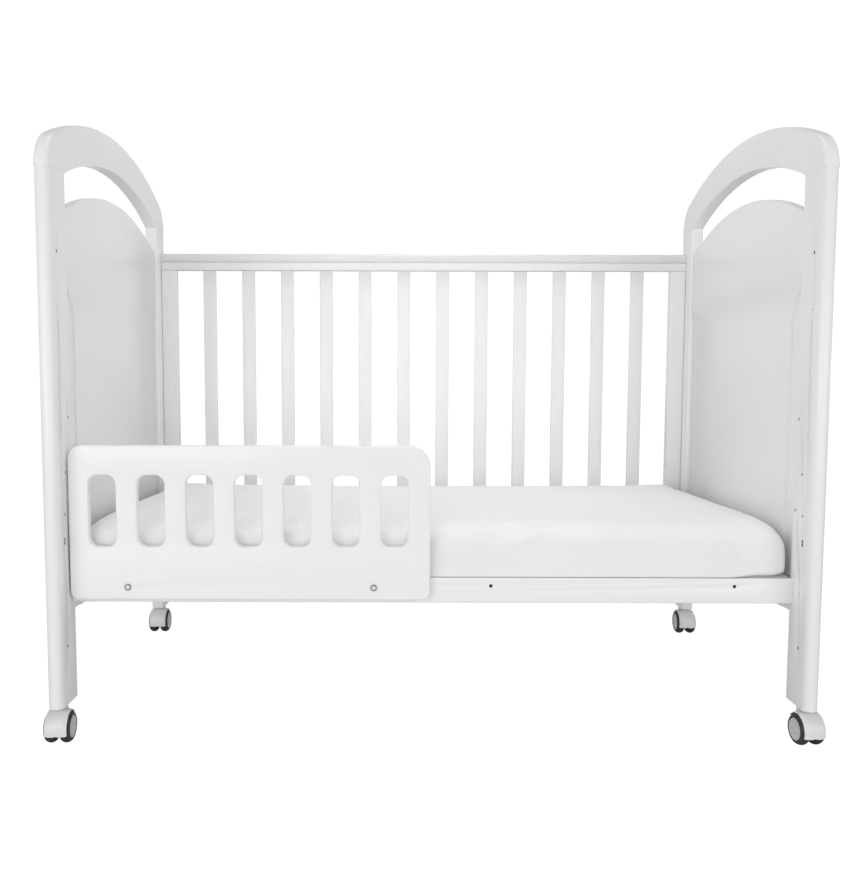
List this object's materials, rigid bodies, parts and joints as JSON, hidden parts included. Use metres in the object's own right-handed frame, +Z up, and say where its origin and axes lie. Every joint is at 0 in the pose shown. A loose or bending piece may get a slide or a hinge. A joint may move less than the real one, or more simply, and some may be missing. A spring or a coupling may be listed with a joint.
{
  "type": "toddler bed",
  "caption": "White painted wooden toddler bed made from a cot: solid arched ends with hand holes, slatted rear side, half-length slotted guard, mattress on a slatted base, twin-wheel casters.",
  "frame": {"origin": "on the floor, under the centre of the whole bed's box", "axes": "+X along the bed's length to the right as seen from its open front, +Y from the open front to the slatted rear side, +Z up"},
  "size_m": [1.3892, 0.7998, 1.147],
  "materials": {
    "white_paint": "semi-gloss white enamel over wood",
    "cap_plastic": "satin white moulded strip",
    "mattress_cover": "white cotton fitted sheet",
    "caster_hood": "satin moulded light grey nylon",
    "caster_tyre": "matte black tread",
    "caster_hub": "satin light grey",
    "steel": "zinc plated"
  },
  "bodies": {
    "bed_frame": {"left_front_post": "white_paint", "left_rear_post": "white_paint", "left_crest_rail": "white_paint", "left_end_panel": "white_paint", "right_front_post": "white_paint", "right_rear_post": "white_paint", "right_crest_rail": "white_paint", "right_end_panel": "white_paint", "rear_side_cap": "cap_plastic", "rear_side_top_rail": "white_paint", "rear_side_bottom_rail": "white_paint", "rear_side_left_stile": "white_paint", "rear_side_right_stile": "white_paint", "rear_slat_01": "white_paint", "rear_slat_02": "white_paint", "rear_slat_03": "white_paint", "rear_slat_04": "white_paint", "rear_slat_05": "white_paint", "rear_slat_06": "white_paint", "rear_slat_07": "white_paint", "rear_slat_08": "white_paint", "rear_slat_09": "white_paint", "rear_slat_10": "white_paint", "rear_slat_11": "white_paint", "rear_slat_12": "white_paint", "front_base_rail": "white_paint", "rear_base_rail": "white_paint", "left_base_rail": "white_paint", "right_base_rail": "white_paint", "base_slat_1": "white_paint", "base_slat_2": "white_paint", "base_slat_3": "white_paint", "base_slat_4": "white_paint", "base_slat_5": "white_paint", "base_slat_6": "white_paint", "guard_rail": "white_paint", "guard_bolt_1": "steel", "guard_bolt_2": "steel", "front_left_caster_stem": "steel", "front_right_caster_stem": "steel", "rear_left_caster_stem": "steel", "rear_right_caster_stem": "steel"},
    "mattress": {"mattress": "mattress_cover"},
    "front_left_caster": {"front_left_caster_hood": "caster_hood", "front_left_caster_axle": "steel"},
    "front_left_left_wheel": {"front_left_caster_left_wheel": "caster_tyre"},
    "front_left_right_wheel": {"front_left_caster_right_wheel": "caster_tyre"},
    "front_right_caster": {"front_right_caster_hood": "caster_hood", "front_right_caster_axle": "steel"},
    "front_right_left_wheel": {"front_right_caster_left_wheel": "caster_tyre"},
    "front_right_right_wheel": {"front_right_caster_right_wheel": "caster_tyre"},
    "rear_left_caster": {"rear_left_caster_hood": "caster_hood", "rear_left_caster_axle": "steel"},
    "rear_left_left_wheel": {"rear_left_caster_left_wheel": "caster_tyre"},
    "rear_left_right_wheel": {"rear_left_caster_right_wheel": "caster_tyre"},
    "rear_right_caster": {"rear_right_caster_hood": "caster_hood", "rear_right_caster_axle": "steel"},
    "rear_right_left_wheel": {"rear_right_caster_left_wheel": "caster_tyre"},
    "rear_right_right_wheel": {"rear_right_caster_right_wheel": "caster_tyre"}
  },
  "joints": [
    {"name": "mattress_lift", "type": "slide", "parent": "bed_frame", "child": "mattress", "axis": [0, 0, 1], "range_m": [0, 0.25]},
    {"name": "front_left_swivel", "type": "hinge", "parent": "bed_frame", "child": "front_left_caster", "pos_m": [-0.67086, -0.35009, 0.063], "axis": [0, 0, 1], "continuous": true},
    {"name": "front_left_left_roll", "type": "hinge", "parent": "front_left_caster", "child": "front_left_left_wheel", "pos_m": [-0.68386, -0.36756, 0.028], "axis": [0.9994, 0.0349, 0], "continuous": true},
    {"name": "front_left_right_roll", "type": "hinge", "parent": "front_left_caster", "child": "front_left_right_wheel", "pos_m": [-0.65667, -0.36661, 0.028], "axis": [0.9994, 0.0349, 0], "continuous": true},
    {"name": "front_right_swivel", "type": "hinge", "parent": "bed_frame", "child": "front_right_caster", "pos_m": [0.66714, -0.35009, 0.063], "axis": [0, 0, 1], "continuous": true},
    {"name": "front_right_left_roll", "type": "hinge", "parent": "front_right_caster", "child": "front_right_left_wheel", "pos_m": [0.65539, -0.36842, 0.028], "axis": [0.9945, 0.1045, 0], "continuous": true},
    {"name": "front_right_right_roll", "type": "hinge", "parent": "front_right_caster", "child": "front_right_right_wheel", "pos_m": [0.68244, -0.36558, 0.028], "axis": [0.9945, 0.1045, 0], "continuous": true},
    {"name": "rear_left_swivel", "type": "hinge", "parent": "bed_frame", "child": "rear_left_caster", "pos_m": [-0.67086, 0.35991, 0.063], "axis": [0, 0, 1], "continuous": true},
    {"name": "rear_left_left_roll", "type": "hinge", "parent": "rear_left_caster", "child": "rear_left_left_wheel", "pos_m": [-0.68446, 0.34291, 0.028], "axis": [1, 0, 0], "continuous": true},
    {"name": "rear_left_right_roll", "type": "hinge", "parent": "rear_left_caster", "child": "rear_left_right_wheel", "pos_m": [-0.65726, 0.34291, 0.028], "axis": [1, 0, 0], "continuous": true},
    {"name": "rear_right_swivel", "type": "hinge", "parent": "bed_frame", "child": "rear_right_caster", "pos_m": [0.66714, 0.35991, 0.063], "axis": [0, 0, 1], "continuous": true},
    {"name": "rear_right_left_roll", "type": "hinge", "parent": "rear_right_caster", "child": "rear_right_left_wheel", "pos_m": [0.65354, 0.34291, 0.028], "axis": [1, 0, 0], "continuous": true},
    {"name": "rear_right_right_roll", "type": "hinge", "parent": "rear_right_caster", "child": "rear_right_right_wheel", "pos_m": [0.68074, 0.34291, 0.028], "axis": [1, 0, 0], "continuous": true}
  ]
}
